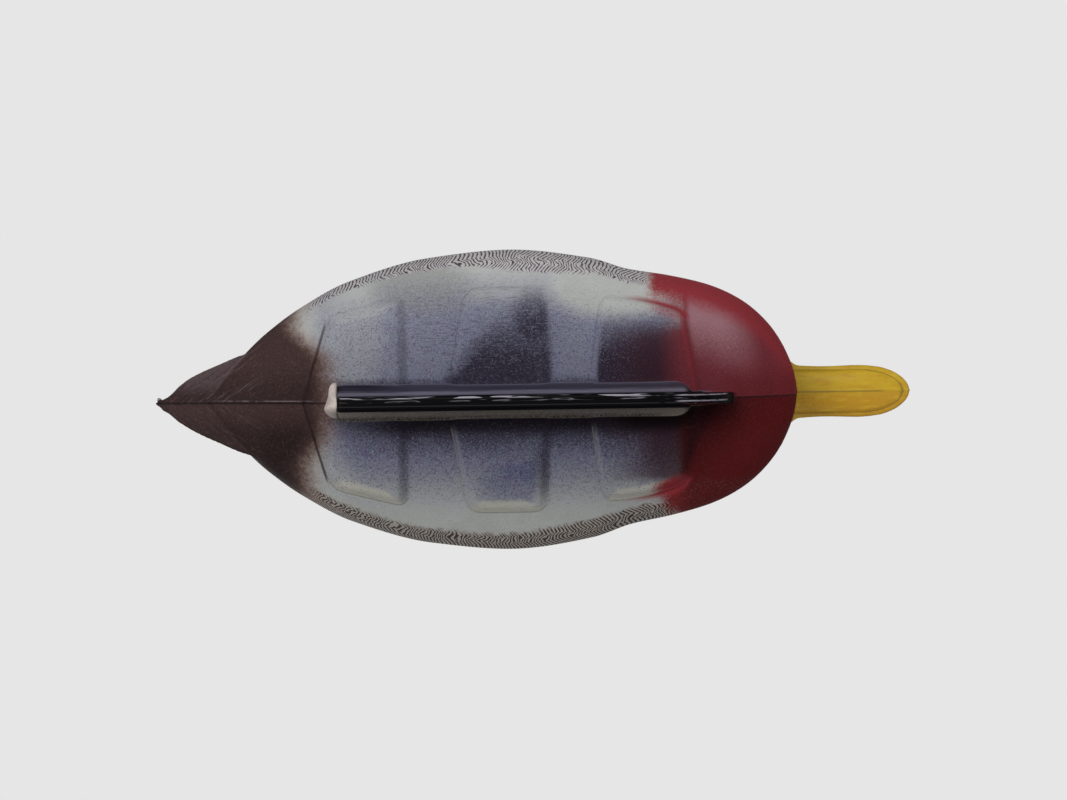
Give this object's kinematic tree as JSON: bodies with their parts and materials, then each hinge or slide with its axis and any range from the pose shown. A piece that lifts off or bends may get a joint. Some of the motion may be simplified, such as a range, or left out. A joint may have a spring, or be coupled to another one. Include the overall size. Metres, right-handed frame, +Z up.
{
  "type": "mallard decoy",
  "caption": "Floating duck decoy in painted blow-moulded plastic: a mallard drake whose keel closes with a plug, standing on the keel's flat edge.",
  "frame": {"origin": "on the surface that the keel stands on, midway between the tail tip and the bill tip", "axes": "+X towards the bill, +Y the bird's left side, +Z up"},
  "size_m": [0.4, 0.1586, 0.176],
  "materials": {
    "painted_plastic": "pale grey-green plastic, airbrushed grey, brown, burgundy, black, green and yellow, satin to matte",
    "plug_plastic": "bare cream plastic, smooth, slightly waxy"
  },
  "bodies": {
    "root": {"decoy_shell": "painted_plastic", "keel_plug": "plug_plastic"}
  },
  "joints": []
}
